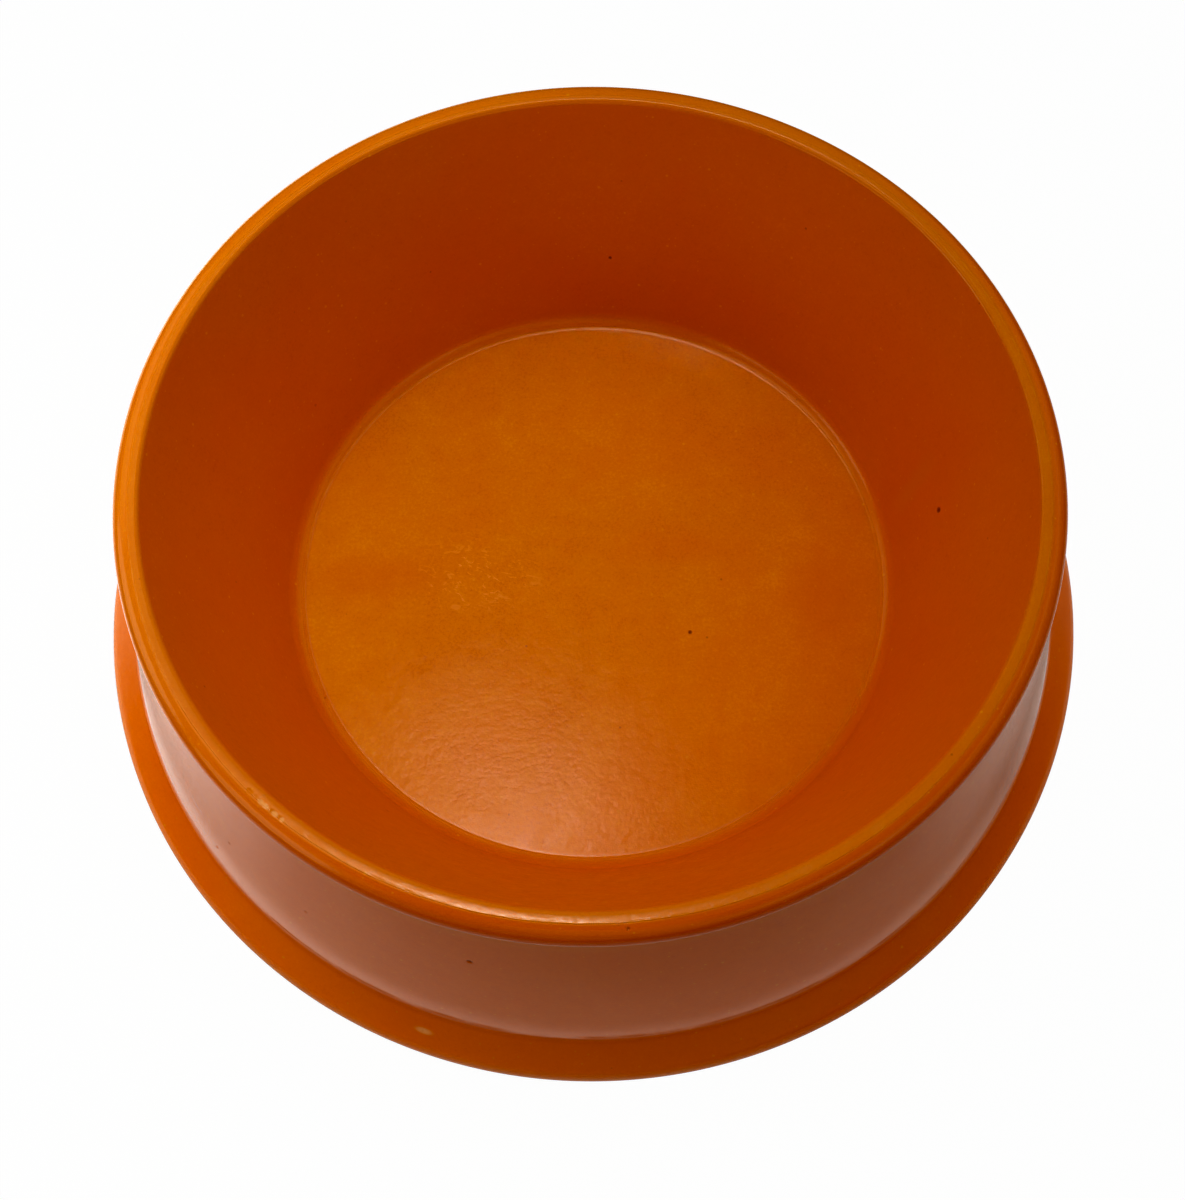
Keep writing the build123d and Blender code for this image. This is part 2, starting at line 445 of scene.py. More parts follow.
def body_shift(radii, heights, turn, tag, radius):
    """The unevenness of a pressed part: an uneven parting line and faint waves in the faces."""
    if tag in ("crest", "inner"):
        radii = radii + parting_wobble(turn, radius - PART_R)
        if tag == "crest":
            radii, heights = trim_crest(radii, heights, turn, radius - PART_R)
    elif tag in ("skirt", "lip", "flange_fillet"):
        radii = radii - (1.0 if tag == "skirt" else 0.35) * (
            0.020 * (1 + ring_noise(turn, heights, 22, 14, 11))
            + 0.010 * (1 + ring_noise(turn, heights, 60, 6, 12))
            + 0.004 * (1 + ring_noise(turn, heights, 150, 3.2, 13))
        )
        if tag == "flange_fillet":
            radii = radii + 0.02 * ring_noise(turn, 0, 170, 1, 14)
    elif tag == "wall":
        weight = float(smooth(14, 18, heights[0]) * (1 - smooth(58, 61, heights[0])))
        radii = radii + weight * (0.025 * ring_noise(turn, heights, 18, 16, 15)
                                  + 0.010 * ring_noise(turn, heights, 46, 7, 16))
    elif tag == "floor":
        weight = float(1 - smooth(54, 60, radius))
        x, y = radius * np.cos(turn), radius * np.sin(turn)
        heights = heights - weight * 0.05 * (
            np.sin(x / 17.0 + 0.6) * np.cos(y / 21.0 - 0.3)
            + 0.5 * np.sin(x / 9.1 - y / 12.3 + 1.1)
        )
    elif tag == "flange":
        radii = radii - 0.012 * (1 + ring_noise(turn, heights, 90, 3, 17))
    return radii, heights


def carve_pits(mesh):
    """Refine the skin round each pit, then press it in with a faint raised lip."""
    bm = bmesh.new()
    bm.from_mesh(mesh)
    for place, radius, depth, _ in PITS:
        centre = Vector(place) * MM
        reach = radius * 2.2 * MM
        near = [face for face in bm.faces
                if (face.calc_center_median() - centre).length < reach + 1.2 * MM]
        if not near:
            continue
        edges = list({edge for face in near for edge in face.edges})
        longest = max(edge.calc_length() for edge in edges)
        cuts = max(1, min(7, int(longest / (0.2 * MM))))
        bmesh.ops.subdivide_edges(bm, edges=edges, cuts=cuts, use_grid_fill=True)
        bm.normal_update()
        nearest = min(bm.verts, key=lambda vert: (vert.co - centre).length)
        centre, normal = nearest.co.copy(), nearest.normal.copy()
        for vert in bm.verts:
            distance = (vert.co - centre).length / MM
            if distance < radius * 1.6:
                press = (math.exp(-((distance / (radius * 0.62)) ** 2))
                         - 0.10 * math.exp(-(((distance - radius * 1.05) / (radius * 0.3)) ** 2)))
                vert.co += -normal * depth * press * MM
    bm.to_mesh(mesh)
    bm.free()
    shade_smooth(mesh)


def make_bowl():
    verts, faces = lathe(body_section(), body_shift, poles=(FLOOR_Z, UNDER_Z))
    mesh = to_mesh("bowl_body_shell", verts, faces)
    carve_pits(mesh)
    return add_object("bowl_body_shell", mesh)


# --------------------------------------------------------- non-slip ring --
RING_GAP = 0.05
RING_IN, RING_OUT = GROOVE_IN + RING_GAP, GROOVE_OUT - RING_GAP
RING_TOP = GROOVE_TOP
RING_CHAMFER = 0.08
BEAD_INSET, BEAD_HALF_WIDTH, BEAD_HEIGHT = 0.75, 0.74, 0.60


def bead_points(middle):
    points = []
    for turn in steps(-80, 80, 10):
        angle = math.radians(turn)
        points.append((middle + BEAD_HALF_WIDTH * math.sin(angle),
                       BEAD_HEIGHT - BEAD_HEIGHT * math.cos(angle)))
    return points


def ring_section():
    """Two soft beads touch the ground, with a shallow channel between them."""
    side = (0.62, 1.4, 2.2, RING_TOP - RING_CHAMFER)
    points = [(RING_IN + RING_CHAMFER, RING_TOP)]
    points += [(RING_IN, height) for height in reversed(side)]
    points += bead_points(RING_IN + BEAD_INSET)
    points += [(RING_IN + 1.52, 0.44), (RING_IN + 1.58, 0.44)]
    points += bead_points(RING_OUT - BEAD_INSET)
    points += [(RING_OUT, height) for height in side]
    points += [(RING_OUT - RING_CHAMFER, RING_TOP), ((RING_IN + RING_OUT) / 2, RING_TOP)]
    return stations(points, "ring")


def ring_shift(radii, heights, turn, tag, radius):
    """Slight unevenness of the beads."""
    low = 1 - smooth(0.3, 0.6, heights)
    return radii, heights + low * 0.02 * (1 + ring_noise(turn, radius, 260, 0.8, 21))


def make_ring():
    verts, faces = lathe(ring_section(), ring_shift, closed=True)
    mesh = to_mesh("foot_ring_rubber", verts, [tuple(reversed(face)) for face in faces])
    return add_object("foot_ring_rubber", mesh)


# ----------------------------------------------------------- shader trees --
class Field:
    """A node's output; arithmetic on it adds math nodes."""

    def __init__(self, tree, socket):
        self.tree, self.socket = tree, socket

    def __add__(self, other):
        return self.tree.math("ADD", self, other)

    def __radd__(self, other):
        return self.tree.math("ADD", other, self)

    def __sub__(self, other):
        return self.tree.math("SUBTRACT", self, other)

    def __rsub__(self, other):
        return self.tree.math("SUBTRACT", other, self)

    def __mul__(self, other):
        return self.tree.math("MULTIPLY", self, other)

    def __truediv__(self, other):
        return self.tree.math("DIVIDE", self, other)

    def __abs__(self):
        return self.tree.math("ABSOLUTE", self)

    def at_least(self, other):
        return self.tree.math("MAXIMUM", self, other)

    def remap(self, start, end, low=0.0, high=1.0, eased=True):
        """`low` at start, `high` at end, held level beyond them."""
        return self.tree.out(
            "ShaderNodeMapRange", "Result",
            {"Value": self, "From Min": start, "From Max": end, "To Min": low, "To Max": high},
            interpolation_type="SMOOTHSTEP" if eased else "LINEAR", clamp=True)

    def rise(self, start, end):
        """0 at start, 1 at end."""
        return self.remap(start, end)

    def fall(self, start, end):
        """1 at start, 0 at end."""
        return self.remap(start, end, low=1, high=0)


class Tree:
    """Short forms for building a node tree."""

    def __init__(self, owner):
        owner.use_nodes = True
        self.nodes, self.links = owner.node_tree.nodes, owner.node_tree.links
        self.nodes.clear()

    def put(self, socket, value):
        if isinstance(value, Field):
            self.links.new(value.socket, socket)
        else:
            socket.default_value = value

    def node(self, kind, inputs=None, **settings):
        node = self.nodes.new(kind)
        for key, value in settings.items():
            setattr(node, key, value)
        for key, value in (inputs or {}).items():
            self.put(node.inputs[key], value)
        return node

    def field(self, node, output):
        return Field(self, node.outputs[output])

    def out(self, kind, output, inputs=None, **settings):
        return self.field(self.node(kind, inputs, **settings), output)

    def shader(self, kind, inputs):
        return self.out(kind, 0, inputs)

    def math(self, operation, first, second=0.0, clamp=False):
        return self.out("ShaderNodeMath", 0, {0: first, 1: second},
                        operation=operation, use_clamp=clamp)

    def vector(self, operation, first, second):
        output = "Value" if operation == "DISTANCE" else "Vector"
        return self.out("ShaderNodeVectorMath", output, {0: first, 1: second},
                        operation=operation)

    def length(self, vector):
        return self.out("ShaderNodeVectorMath", "Value", {0: vector}, operation="LENGTH")

    def object_mm(self):
        """Object coordinates in millimetres."""
        metres = self.out("ShaderNodeTexCoord", "Object")
        return self.out("ShaderNodeVectorMath", "Vector", {0: metres, "Scale": 1.0 / MM},
                        operation="SCALE")

    def split(self, vector):
        node = self.node("ShaderNodeSeparateXYZ", {0: vector})
        return [self.field(node, i) for i in range(3)]

    def combine(self, x, y, z=0.0):
        return self.out("ShaderNodeCombineXYZ", 0, {0: x, 1: y, 2: z})

    def radius(self, x, y):
        return self.math("SQRT", x * x + y * y)

    def noise(self, vector, scale, detail=2.0, rough=0.5, distort=0.0, output="Fac"):
        return self.out(
            "ShaderNodeTexNoise", output,
            {"Vector": vector, "Scale": scale, "Detail": detail, "Roughness": rough,
             "Distortion": distort})

    def mix(self, factor, first, second, blend="MIX"):
        return self.out("ShaderNodeMix", "Result", {"Factor": factor, "A": first, "B": second},
                        data_type="RGBA", blend_type=blend, clamp_factor=True)

    def blend(self, colour, mask, strength, over):
        """Lay the shade `over` on the colour."""
        return self.mix(mask * strength, colour, over)

    def grade(self, colour, mask, red=1.0, green=1.0):
        """Multiply the colour's red and green where the mask is 1."""
        return self.mix(1.0, colour, self.mix(mask, WHITE, (red, green, 1.0, 1.0)), "MULTIPLY")

    def ramp(self, factor, stops, interpolation):
        """Colour ramp through stops of (position, colour)."""
        node = self.node("ShaderNodeValToRGB", {"Fac": factor})
        node.color_ramp.interpolation = interpolation
        elements = node.color_ramp.elements
        for i, (position, colour) in enumerate((stops[0], stops[-1])):
            elements[i].position, elements[i].color = position, colour
        for position, colour in stops[1:-1]:
            elements.new(position).color = colour
        return self.field(node, "Color")

    def bumps(self, layers):
        """Stacked bumps: (height, depth in millimetres, strength)."""
        normal = None
        for height, depth, strength in layers:
            inputs = {"Height": height, "Distance": depth * MM, "Strength": strength}
            if normal is not None:
                inputs["Normal"] = normal
            normal = self.out("ShaderNodeBump", "Normal", inputs)
        return normal

    def finish(self, surface, kind="ShaderNodeOutputMaterial"):
        self.node(kind, {"Surface": surface})


def grey(level):
    return (level, level, level, 1.0)


WHITE = grey(1.0)
ORANGE = (0.818, 0.280, 0.0012, 1.0)
PLASTIC_IOR = 1.52


def tint(red, green, blue):
    """A shade of the orange: red and green as shares of the base, blue as it is."""
    return (min(0.98, ORANGE[0] * red), min(0.98, ORANGE[1] * green), blue, 1.0)


# --------------------------------------------------------- orange plastic --
# flecks: (cells per millimetre, dot size, rarity, tint, strength)
FLECKS = (
    (0.34, 0.14, 0.80, (1.12, 1.55, 0.020), 0.60),
    (0.80, 0.22, 0.84, (1.10, 1.45, 0.012), 0.55),
    (0.26, 0.09, 0.90, (0.62, 0.45, 0.001), 0.60),
)
# redder bands on the floor, at its left, right of centre and far right:
# (centre, shrink along x y z, distance where the fade starts, strength, tint)
RED_BANDS = (
    ((-48.0, 1.0, 11.0), (0.045, 0.13, 0.02), 0.2, 0.32, (0.97, 0.78, 0.001)),
    ((19.0, 6.5, 11.0), (0.045, 0.17, 0.02), 0.15, 0.24, (0.99, 0.80, 0.001)),
    ((50.0, -6.0, 11.0), (0.085, 0.055, 0.02), 0.2, 0.30, (0.96, 0.80, 0.001)),
)
# pale beads on the parting line: (degrees round, half length in millimetres)
PALE_BEADS = ((-132.6, 0.75), (-131.9, 0.95), (-130.4, 0.85), (-129.3, 0.50))


def floor_spot(tree, place, centre, shrink, core, edge):
    """Soft oval on the floor: 1 within `core`, 0 beyond `edge`, after shrinking."""
    offset = tree.vector("MULTIPLY", tree.vector("SUBTRACT", place.point, centre), shrink)
    return tree.length(offset).fall(core, edge) * place.on_floor


def map_places(tree):
    """Coordinates in millimetres, masks by place and the patterns that several parts share."""
    place = SimpleNamespace(point=tree.object_mm())
    x, y, z = tree.split(place.point)
    r = tree.radius(x, y)
    place.x, place.y, place.z, place.r = x, y, z, r
    off_axis = r.at_least(0.001)
    # direction from the axis: right is 1 at +X, back is 1 at +Y
    place.right, place.back = x / off_axis, y / off_axis
    place.on_floor = r.fall(61.2, 61.95) * z.rise(10.2, 10.6)
    # the skirt's cone is 99.6 across at the ground and leans in by 0.1733 per millimetre
    place.on_skirt = ((r - (99.6 - z * 0.1733)).rise(-1.2, -0.8)
                      * (z.rise(9.0, 10.5) * z.fall(57.2, 58.2)))
    place.on_rim = z.rise(57.6, 58.6)
    # bevel round the floor's edge
    place.on_line = (abs(r - 62.3).fall(0.15, 0.55)
                     * (z.rise(10.5, 10.8) * z.fall(11.3, 11.6)))
    place.mottle = tree.noise(place.point, scale=0.30, detail=4.0, rough=0.62, distort=0.3)
    place.grain = tree.noise(place.point, scale=1.55, detail=3.0, rough=0.6)
    place.fine = tree.noise(place.point, scale=3.8, detail=2.0, rough=0.6)
    # scuffed patch left of the middle of the floor, broken into slanting strokes
    place.patch = floor_spot(tree, place, (-26.5, 1.0, 11.0), (0.050, 0.085, 0.02),
                             core=0.35, edge=1.15)
    slanted = tree.combine(x * 0.30 + y * -0.20, y * 0.55 + x * 0.22)
    place.strokes = tree.noise(slanted, scale=0.95, detail=5.0, rough=0.70, distort=1.4)
    place.flecks = place.strokes.rise(0.535, 0.63)
    return place


def pigment(tree, place):
    """Cloudy, mottled orange, busiest on the dish floor, with patches that drift redder."""
    cloud = tree.noise(place.point, scale=0.040, detail=3.0, rough=0.55, distort=0.6)
    busy = 0.62 + place.on_floor * 0.48
    tone = ((cloud - 0.5) * 0.55 + (place.mottle - 0.5) * 0.50
            + (place.grain - 0.5) * 0.95 + (place.fine - 0.5) * 0.55) * busy
    shades = [
        (0.12, tint(red=0.91, green=0.80, blue=0.0008)),
        (0.5, ORANGE),
        (0.88, tint(red=1.07, green=1.22, blue=0.002)),
    ]
    colour = tree.ramp(tree.math("ADD", tone, 0.5, clamp=True), shades, "EASE")
    drift = tree.noise(place.point, scale=0.028, detail=2.0, rough=0.5, distort=0.4,
                       output="Color")
    redder = tree.split(drift)[0].rise(0.40, 0.66)
    return tree.blend(colour, redder, 0.22, tint(red=1.0, green=0.82, blue=0.001))


def grade_regions(tree, place, colour):
    """Each region of the bowl leans towards yellow or red; some of these tints are painted light and
    shade, as said below.
    """
    x, z, r = place.x, place.z, place.r
    # floor yellowed a little all over, and more towards its left as painted light falling from the
    # left
    left = x.remap(-60.0, 55.0, low=1, high=0, eased=False)
    colour = tree.grade(colour, place.on_floor * (0.25 + left * 0.75), red=1.06, green=1.23)
    # outside redder
    colour = tree.grade(colour, r.rise(87.6, 89.6) * z.rise(61.9, 60.6), green=0.82)
    # outer rim redder at its front right: painted shade, where less light falls than on the left
    front_right = place.right * 0.70 + place.back * -0.71
    rim_painted_shade = place.on_rim * r.rise(87.3, 88.3) * front_right.rise(-0.35, 0.60)
    colour = tree.grade(colour, rim_painted_shade, green=0.80)
    # foot flange a little yellower all round, and more towards its left as painted light falling from
    # the left
    flange = r.rise(98.2, 99.4) * z.fall(10.0, 10.8)
    flange = flange * place.right.remap(-0.5, 0.5, low=1.0, high=0.35)
    colour = tree.grade(colour, flange, red=1.12, green=1.27)
    # below the lip redder still
    colour = tree.grade(colour, r.rise(90.3, 90.8) * z.fall(57.0, 57.6), green=0.92)
    # rim palest at its back left: painted light, where the light falls most
    back_left = place.right * -0.82 + place.back * 0.57
    rim_painted_light = place.on_rim * r.rise(85.3, 86.0) * back_left.rise(0.40, 1.0)
    colour = tree.grade(colour, rim_painted_light, red=1.15, green=1.20)
    # dish wall
    return tree.grade(colour, r.rise(62.6, 64.0) * r.rise(85.6, 84.6), green=0.955)


def add_flecks(tree, place, colour):
    for scale, size, rarity, shade, strength in FLECKS:
        shifted = tree.vector("ADD", place.point, (scale * 40, size * 90, rarity * 20))
        cells = tree.node("ShaderNodeTexVoronoi", {"Vector": shifted, "Scale": scale},
                          feature="F1")
        chance = tree.split(tree.field(cells, "Color"))[0]
        dot = (tree.field(cells, "Distance").fall(size * 0.4, size)
               * chance.rise(rarity, rarity + 0.05))
        colour = tree.blend(colour, dot, strength, tint(*shade))
    return colour


def mark_dish(tree, place, colour):
    """Scuffs and bands on the floor and a smear on the dish wall."""
    colour = tree.blend(colour, place.patch * place.flecks, 0.85,
                        tint(red=1.16, green=1.46, blue=0.02))
    worn = (place.strokes.rise(0.42, 0.36) * place.on_floor
            * place.r.remap(10, 40, low=1.0, high=0.3))
    colour = tree.blend(colour, worn, 0.30, tint(red=0.98, green=0.84, blue=0.001))
    for centre, shrink, core, strength, shade in RED_BANDS:
        band = floor_spot(tree, place, centre, shrink, core=core, edge=1.0)
        colour = tree.blend(colour, band, strength, tint(*shade))
    # slanting smear on the right of the wall
    smear_centre = (69.0, 13.0, 25.0)
    _, y, z = tree.split(tree.vector("SUBTRACT", place.point, smear_centre))
    along = y * 0.5 + z * 1.0
    across = z * 0.26 - y
    smear = abs(along).fall(4.0, 12.0) * abs(across).fall(0.3, 3.4) * place.x.rise(50, 56)
    return tree.blend(colour, smear, 0.22, tint(red=0.98, green=1.25, blue=0.02))


def mark_nicks(tree, place, colour):
    """Dirt in the pits, and a painted glint on a nick in the flange."""
    dirt = None
    for centre, radius, _, share in PITS:
        if share == 0:
            continue
        distance = tree.vector("DISTANCE", place.point, centre)
        spot = distance.remap(radius * 0.30, radius * 0.95, low=share, high=0)
        dirt = spot if dirt is None else dirt.at_least(spot)
    colour = tree.blend(colour, dirt, 0.90, tint(red=0.30, green=0.22, blue=0.001))
    # the nick's painted glint is long round the bowl and narrow across it
    x, y, z = tree.split(tree.vector("SUBTRACT", place.point, GLINTING_NICK))
    around = x * 0.937 + y * -0.350
    outward = x * 0.350 + y * 0.937
    nick = tree.length(tree.combine(around * 0.42, outward * 1.5))
    nick = nick.fall(0.3, 1.1) * z.rise(-1.5, -1.0)
    return tree.blend(colour, nick, 0.90, (1.0, 0.50, 0.20, 1.0))


def mark_edges(tree, place, colour):
    """The parting line and the floor's edge line go paler; the flange's edge gets a painted
    reflection of the white table.
    """
    part_radius = (PART_R + 0.02) - place.back * 0.42
    on_crest = abs(place.r - part_radius).fall(0.05, 0.30) * place.on_rim
    circle = tree.combine(place.right * 60.0, place.back * 60.0)
    patchy = tree.noise(circle, scale=1.0, detail=3.0, rough=0.7).rise(0.42, 0.62)
    wear = on_crest * patchy.remap(0, 1, low=0.25, high=1.0, eased=False)
    colour = tree.blend(colour, wear, 0.30, tint(red=1.08, green=1.45, blue=0.05))
    # pale beads where the trim has broken away, lying 0.10 inside the line and 0.52 wide each way
    turn = tree.math("ARCTAN2", place.back, place.right)
    beads = None
    for degrees, half_length in PALE_BEADS:
        around = (turn - math.radians(degrees)) * (87.0 / half_length)
        across = (place.r - part_radius + 0.10) / 0.52
        bead = tree.length(tree.combine(around, across)).fall(0.55, 1.15)
        beads = bead if beads is None else beads.at_least(bead)
    colour = tree.blend(colour, beads * place.on_rim, 0.72, (0.96, 0.52, 0.20, 1.0))
    line_strength = place.mottle.remap(0.35, 0.65, low=0.05, high=0.30)
    colour = tree.blend(colour, place.on_line, line_strength,
                        tint(red=1.08, green=1.35, blue=0.02))
    # painted reflection: the flange's outer edge goes patchily paler as if mirroring the white table
    foot_edge_painted_sheen = place.r.rise(104.2, 104.9) * place.mottle.rise(0.40, 0.62)
    return tree.blend(colour, foot_edge_painted_sheen, 0.25, tint(red=1.06, green=1.35, blue=0.03))


def moulding_roughness(tree, place):
    """Mottled gloss with flow streaks round the skirt; each term is one region's change."""
    circle = tree.combine(place.right * 3.2, place.back * 3.2, place.z * 0.55)
    streak = tree.noise(circle, scale=1.0, detail=5.0, rough=0.62, distort=0.2)
    rough = place.mottle.remap(0.3, 0.7, low=0.15, high=0.21, eased=False)
    rough = rough + (place.grain - 0.5) * 0.06
    rough = rough + place.on_skirt * (-0.085 + (streak - 0.5) * 0.16)
    rough = rough + place.r.rise(85.8, 86.4) * (place.on_rim * -0.055)
    rough = rough + place.on_line * -0.03
    rough = rough + place.on_floor * -0.030
    rough = rough + place.patch * place.flecks * 0.12
    return rough.at_least(0.06)


def moulding_normal(tree, place):
    """Orange peel, grain, streaks round the skirt and fine scratches along X on the floor."""
    peel = tree.noise(place.point, scale=0.55, detail=3.0, rough=0.5)
    circle = tree.combine(place.right * 7.0, place.back * 7.0, place.z * 2.4)
    streak = tree.noise(circle, scale=1.0, detail=3.0, rough=0.6)
    stretched = tree.vector("MULTIPLY", place.point, (0.16, 3.0, 1.0))
    scratches = tree.noise(stretched, scale=1.0, detail=3.0)
    return tree.bumps((
        (peel, 0.030, 1.0),
        (place.fine, 0.010, 1.0),
        (place.grain, 0.012, 1.0),
        (streak, 0.012, place.on_skirt * 0.8),
        (scratches, 0.008, place.on_floor * 0.5),
    ))


def plain_plastic(tree, place, glossy_ray):
    """The plastic as light sees it: no fine detail, and a flange that glows as a painted reflection
    in the skirt.
    """
    # painted reflection: for glossy rays the foot flange turns near black and glows white, brightest
    # at its front, so the lower skirt mirrors a pale strip; the flange is no lamp
    flange = place.r.rise(97.5, 98.0) * place.z.fall(10.9, 11.6)
    left = (place.right * -1.0).at_least(0.0)
    right = place.right.at_least(0.0)
    front = (place.back * -1.0).at_least(0.0)
    glow = left * 0.22 + front * 0.62 + 0.19 - right * 0.24
    glow = glow + (right - 0.87).at_least(0.0) * 2.4
    glow = glow * flange * place.r.remap(99.0, 104.5, low=1.10, high=0.55)
    mirrored = flange * glossy_ray
    return tree.shader("ShaderNodeBsdfPrincipled", {
        "Base Color": tree.mix(mirrored * 0.8, ORANGE, grey(0.05)),
        "Roughness": 0.18,
        "IOR": PLASTIC_IOR,
        "Emission Color": WHITE,
        "Emission Strength": glow * glossy_ray,
    })


def moulding_material():
    material = bpy.data.materials.new("moulded_orange")
    tree = Tree(material)
    place = map_places(tree)
    colour = pigment(tree, place)
    for layer in (grade_regions, add_flecks, mark_dish, mark_nicks, mark_edges):
        colour = layer(tree, place, colour)
    # less shine on the floor and on the front of its edge line
    dull_line = place.on_line * place.back.fall(-0.2, 0.4) * 0.40
    detailed = tree.shader("ShaderNodeBsdfPrincipled", {
        "Base Color": colour,
        "Roughness": moulding_roughness(tree, place),
        "Normal": moulding_normal(tree, place),
        "IOR": PLASTIC_IOR,
        "Specular IOR Level": 0.5 - (place.on_floor * 0.26).at_least(dull_line),
    })
    rays = tree.node("ShaderNodeLightPath")
    plain = plain_plastic(tree, place, tree.field(rays, "Is Glossy Ray"))
    camera_ray = tree.field(rays, "Is Camera Ray")
    tree.finish(tree.shader("ShaderNodeMixShader", {"Fac": camera_ray, 1: plain, 2: detailed}))
    return material


def rubber_material():
    """Near-black rubber, dusty, and greyer where it meets the ground."""
    material = bpy.data.materials.new("ring_rubber")
    tree = Tree(material)
    point = tree.object_mm()
    cloud = tree.noise(point, scale=0.15, detail=3.0, rough=0.6)
    grain = tree.noise(point, scale=3.2, detail=3.0, rough=0.65)
    dust = tree.noise(point, scale=0.9, detail=4.0, rough=0.7)
    colour = tree.mix(cloud, (0.020, 0.020, 0.021, 1.0), (0.034, 0.033, 0.033, 1.0))
    worn = tree.split(point)[2].fall(0.05, 0.30) * dust.rise(0.45, 0.65)
    colour = tree.blend(colour, worn, 0.5, (0.10, 0.098, 0.095, 1.0))
    colour = tree.blend(colour, dust.rise(0.58, 0.75), 0.35, (0.16, 0.155, 0.15, 1.0))
    tree.finish(tree.shader("ShaderNodeBsdfPrincipled", {
        "Base Color": colour,
        "Roughness": grain.remap(0.3, 0.7, low=0.62, high=0.82),
        "Normal": tree.bumps(((grain, 0.03, 1.0), (dust, 0.02, 1.0))),
        "Specular IOR Level": 0.35,
    }))
    return material


# --------------------------------------------------------- table and room --
# Brightness tables: (low, centre, high, brightness at eight azimuths 45 degrees apart from +X,
# anticlockwise from above). A row fades to nothing at its low and high.
# Rows by distance from the axis in metres; the table is brightest at the back left.
TABLE_GLOW = [
    (0.06, 0.10, 0.14, [0.06, 0, 0, 0.03, 0, 0, 0, 0]),
    (0.10, 0.14, 0.20, [0.30, 0, 0.03, 1.19, 1.45, 0, 0, 0]),
    (0.14, 0.20, 0.32, [0.27, 0, 0.09, 1.95, 0, 0, 0.10, 0]),
    (0.20, 0.32, 0.62, [0, 0, 0.09, 2.4, 0, 0, 0, 0]),
]
# the lower skirt mirrors a brighter strip of table round the foot
FOOT_GLOW = [
    (0.094, 0.106, 0.119, [0.10, 0.15, 0.20, 0.35, 0.12, 0.10, 0.26, 0.06]),
    (0.107, 0.120, 0.137, [0.5, 0.1, 0.1, 0.3, 0.50, 0.06, 0, 0]),
]
# rows by elevation in degrees
ROOM_GLOW = [
    (-8, 8, 26, [0.19, 0.08, 0.31, 0, 0, 0.45, 0.44, 0]),
    (8, 26, 44, [0.23, 0.79, 0.49, 0, 0, 0, 0.09, 1.73]),
    (26, 44, 60, [1.41, 1, 0.02, 0, 0, 0, 0, 0.18]),
    (44, 60, 74, [1.41, 0, 2.97, 0, 0, 0, 0, 0]),
    (60, 74, 90, [0, 1.48, 6.22, 0, 0, 0.32, 0, 3.67]),
]
STUDIO_LEVEL = 0.86             # scales the table, room and soft discs together
TABLE_HALF, TABLE_CELLS = 2.2, 24


def polar_glow(tree, distance, azimuth, rows):
    """Brightness from a table, linear between its rows and azimuths."""
    turn = tree.math("FRACT", azimuth / TAU + 2.0)
    lowest, highest = min(row[0] for row in rows), max(row[2] for row in rows)
    span = highest - lowest
    along = tree.math("DIVIDE", distance - lowest, span, clamp=True)
    total = None
    for low, centre, high, values in rows:
        top = max(values)
        fade = [((edge - lowest) / span, grey(level))
                for edge, level in ((low, 0), (centre, 1), (high, 0))]
        circle = [(k / 8, grey(values[k % 8] / top)) for k in range(9)]
        row = tree.ramp(along, fade, "LINEAR") * tree.ramp(turn, circle, "LINEAR") * top
        total = row if total is None else total + row
    return total


def table_material():
    """White to the camera; to the bowl, a softly lit table that darkens far away."""
    material = bpy.data.materials.new("studio_floor")
    tree = Tree(material)
    point = tree.out("ShaderNodeTexCoord", "Object")
    x, y, _ = tree.split(point)
    distance = tree.radius(x, y)
    rays = tree.node("ShaderNodeLightPath")
    camera_ray = tree.field(rays, "Is Camera Ray")
    speck = tree.noise(point, scale=380.0, detail=3.0, rough=0.6)
    light_albedo = distance.remap(0.16, 0.34, low=0.80, high=0.05, eased=False)
    camera_albedo = speck.remap(0.3, 0.7, low=0.80, high=0.84, eased=False)
    diffuse = tree.shader("ShaderNodeBsdfDiffuse",
                          {"Color": tree.mix(camera_ray, light_albedo, camera_albedo)})
    azimuth = tree.math("ARCTAN2", y, x)
    glow = polar_glow(tree, distance, azimuth, TABLE_GLOW) * STUDIO_LEVEL
    foot = polar_glow(tree, distance, azimuth, FOOT_GLOW) * tree.field(rays, "Is Glossy Ray")
    hidden = tree.shader("ShaderNodeEmission", {"Color": WHITE, "Strength": glow + foot})
    lit = tree.shader("ShaderNodeAddShader", {0: diffuse, 1: hidden})
    paper = tree.shader("ShaderNodeEmission", {"Color": WHITE, "Strength": 1.0})
    # the camera sees nearly pure white, with a trace of shadow
    seen = tree.shader("ShaderNodeMixShader", {"Fac": 0.985, 1: diffuse, 2: paper})
    tree.finish(tree.shader("ShaderNodeMixShader", {"Fac": camera_ray, 1: lit, 2: seen}))
    return material


def make_table():
    mesh = bpy.data.meshes.new("studio_floor")
    row = TABLE_CELLS + 1
    grid = np.linspace(-TABLE_HALF, TABLE_HALF, row)
    verts = [(x, y, 0.0) for y in grid for x in grid]
    faces = []
    for j in range(TABLE_CELLS):
        for i in range(TABLE_CELLS):
            k = j * row + i
            faces.append((k, k + 1, k + row + 1, k + row))
    mesh.from_pydata(verts, [], faces)
    table = add_object("studio_floor", mesh)
    mesh.materials.append(table_material())
    return table


